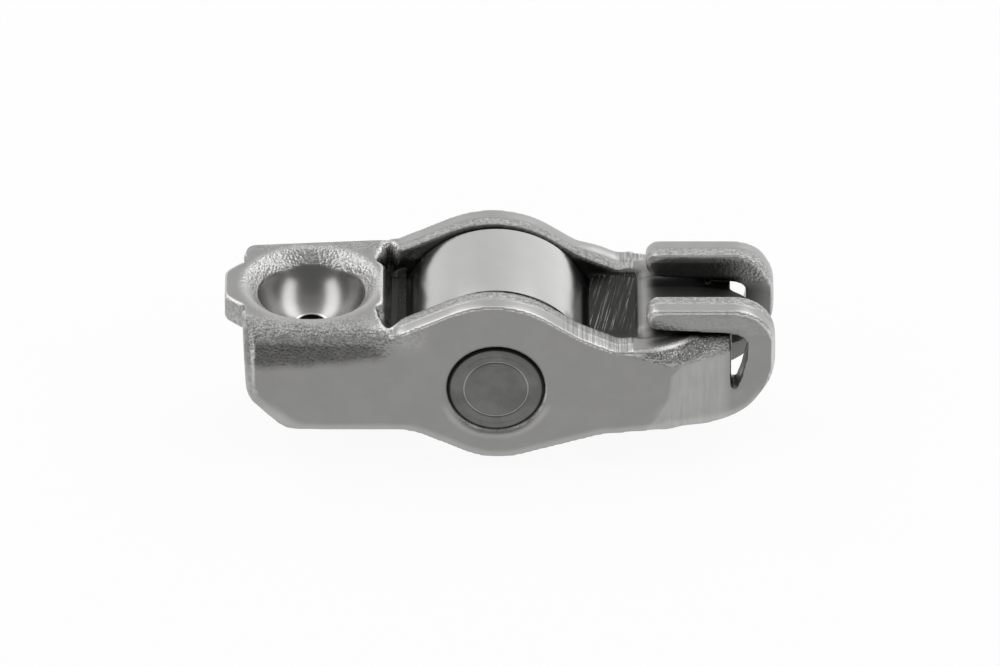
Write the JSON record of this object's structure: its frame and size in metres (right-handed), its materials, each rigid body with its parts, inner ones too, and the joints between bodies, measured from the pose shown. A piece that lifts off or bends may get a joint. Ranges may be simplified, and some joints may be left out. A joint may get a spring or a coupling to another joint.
{
  "type": "rocker arm",
  "caption": "Pressed-steel rocker arm with a ball-pivot cup, a needle-bearing cam roller between humped walls, and a valve pad flanked by folded stem guides.",
  "frame": {"origin": "centre of the pivot ball that the cup sits on", "axes": "+X from the pivot towards the valve, +Y along the roller's axle, +Z out of the cup and the valve pad; the cam runs below"},
  "size_m": [0.0503, 0.0166, 0.0178],
  "materials": {
    "pressed_steel": "case-hardened sheet, tumbled satin",
    "pin_steel": "turned and staked, dull",
    "ground_steel": "ground and superfinished",
    "needle_steel": "ground"
  },
  "bodies": {
    "arm": {"lever_body": "pressed_steel", "axle_pin": "pin_steel"},
    "roller": {"cam_roller": "ground_steel"},
    "needle_set": {"needle_01": "needle_steel", "needle_02": "needle_steel", "needle_03": "needle_steel", "needle_04": "needle_steel", "needle_05": "needle_steel", "needle_06": "needle_steel", "needle_07": "needle_steel", "needle_08": "needle_steel", "needle_09": "needle_steel", "needle_10": "needle_steel", "needle_11": "needle_steel", "needle_12": "needle_steel", "needle_13": "needle_steel", "needle_14": "needle_steel", "needle_15": "needle_steel", "needle_16": "needle_steel", "needle_17": "needle_steel", "needle_18": "needle_steel"}
  },
  "joints": [
    {"name": "roller_spin", "type": "hinge", "parent": "arm", "child": "roller", "pos_m": [0.0169, 0, -0.00706], "axis": [0, 1, 0], "continuous": true},
    {"name": "needle_orbit", "type": "hinge", "parent": "arm", "child": "needle_set", "pos_m": [0.0169, 0, -0.00706], "axis": [0, 1, 0], "continuous": true}
  ],
  "couplings": [
    {"joint": "needle_orbit", "follows": "roller_spin", "ratio": 0.5863}
  ]
}
